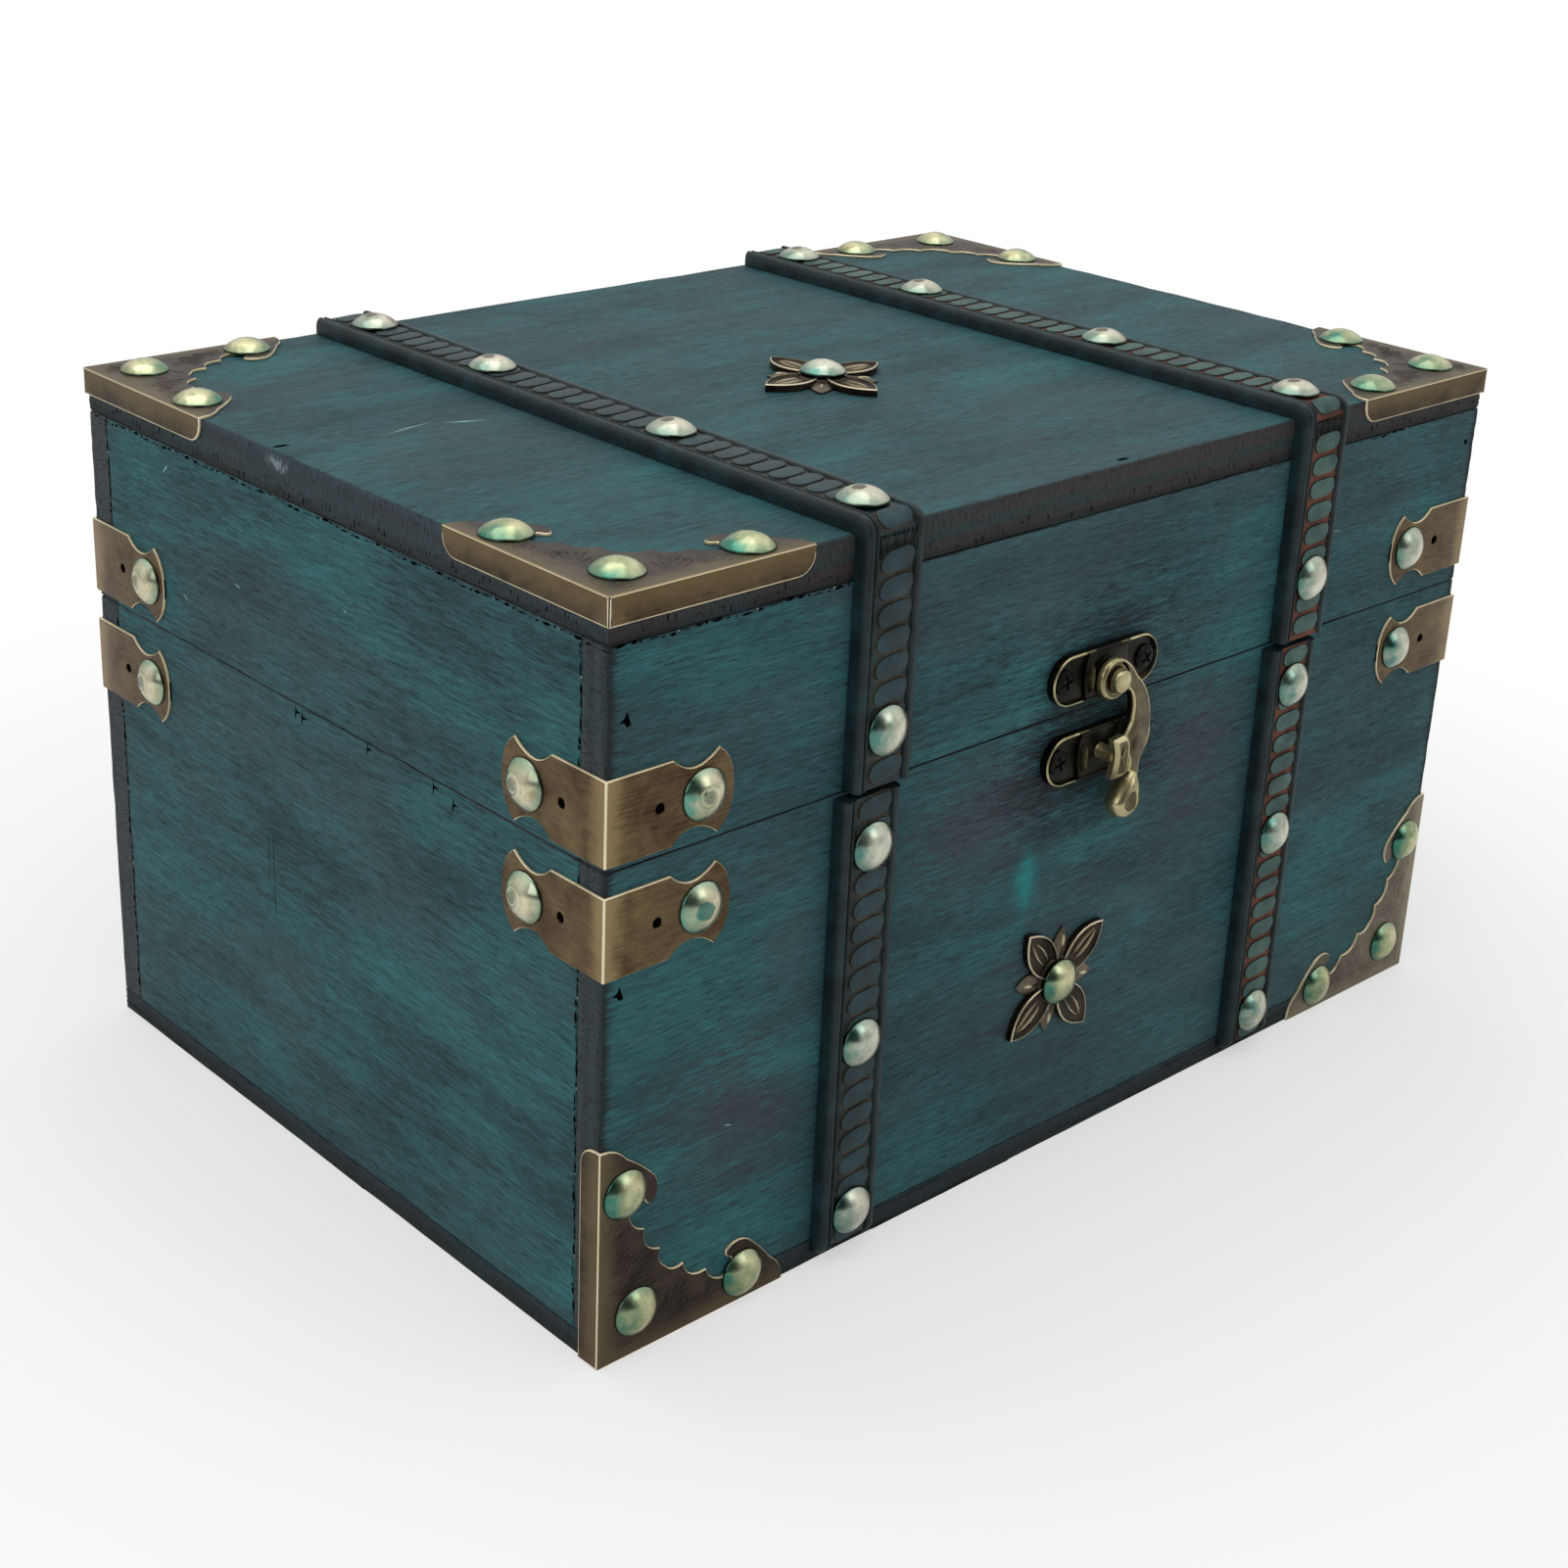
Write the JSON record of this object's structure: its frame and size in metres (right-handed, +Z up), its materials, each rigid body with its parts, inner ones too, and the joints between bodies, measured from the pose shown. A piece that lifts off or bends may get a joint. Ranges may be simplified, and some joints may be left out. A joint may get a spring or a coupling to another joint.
{
  "type": "treasure chest",
  "caption": "Small wooden treasure chest with a hinged lid, embossed straps, domed nails, sheet brass corner pieces, stamped flowers and a swing hook latch.",
  "frame": {"origin": "middle of the wooden underside, which is what the chest rests on", "axes": "+X to the right as seen from the front, +Y from the front to the back, +Z up"},
  "size_m": [0.256, 0.1815, 0.1548],
  "materials": {
    "stained_wood": "teal stain with burnt brown edges, satin",
    "embossed_strap": "embossed blocks, slate teal with rust brown grooves",
    "brushed_brass": "brushed, golden brown with bright rims",
    "aged_brass": "dark bronzed, bright worn edges",
    "nail_brass": "polished pale brass with teal tarnish",
    "latch_bronze": "dark bronze with worn bright rims",
    "screw_steel": "blackened",
    "hinge_brass": "dark bronze, satin"
  },
  "bodies": {
    "base": {"base_front_panel": "stained_wood", "base_back_panel": "stained_wood", "base_left_end": "stained_wood", "base_right_end": "stained_wood", "base_bottom_panel": "stained_wood", "base_strap_left": "embossed_strap", "base_strap_right": "embossed_strap", "base_corner_strap_front_left": "brushed_brass", "base_corner_strap_front_right": "brushed_brass", "base_corner_strap_back_right": "brushed_brass", "base_corner_strap_back_left": "brushed_brass", "base_bracket_left": "aged_brass", "base_bracket_right": "aged_brass", "base_flower": "aged_brass", "base_flower_nail": "nail_brass", "catch_plate": "latch_bronze", "keeper": "latch_bronze", "catch_plate_screw_1": "screw_steel", "catch_plate_screw_2": "screw_steel", "hinge_base_screw_1": "screw_steel", "hinge_base_screw_2": "screw_steel", "hinge_base_screw_3": "screw_steel", "hinge_base_screw_4": "screw_steel", "hinge_base_leaf_left": "hinge_brass", "hinge_base_leaf_right": "hinge_brass", "hinge_pin_left": "hinge_brass", "hinge_pin_right": "hinge_brass"},
    "lid": {"lid_front_rail": "stained_wood", "lid_back_rail": "stained_wood", "lid_left_rail": "stained_wood", "lid_right_rail": "stained_wood", "lid_top_panel": "stained_wood", "lid_strap_left": "embossed_strap", "lid_strap_right": "embossed_strap", "lid_corner_strap_front_left": "brushed_brass", "lid_corner_strap_front_right": "brushed_brass", "lid_corner_strap_back_right": "brushed_brass", "lid_corner_strap_back_left": "brushed_brass", "lid_bracket_front_left": "aged_brass", "lid_bracket_front_right": "aged_brass", "lid_bracket_back_right": "aged_brass", "lid_bracket_back_left": "aged_brass", "lid_flower": "aged_brass", "lid_flower_nail": "nail_brass", "hook_plate": "latch_bronze", "pivot_rivet": "latch_bronze", "hook_plate_screw_1": "screw_steel", "hook_plate_screw_2": "screw_steel", "hinge_lid_screw_1": "screw_steel", "hinge_lid_screw_2": "screw_steel", "hinge_lid_screw_3": "screw_steel", "hinge_lid_screw_4": "screw_steel", "hinge_lid_leaf_left": "hinge_brass", "hinge_lid_leaf_right": "hinge_brass"},
    "hook": {"swing_hook": "latch_bronze"}
  },
  "joints": [
    {"name": "lid_hinge", "type": "hinge", "parent": "base", "child": "lid", "pos_m": [0, 0.087, 0.0996], "axis": [-1, 0, 0], "range_deg": [0, 105]},
    {"name": "hook_pivot", "type": "hinge", "parent": "lid", "child": "hook", "pos_m": [0, -0.088, 0.1062], "axis": [0, -1, 0], "range_deg": [0, 95]}
  ]
}
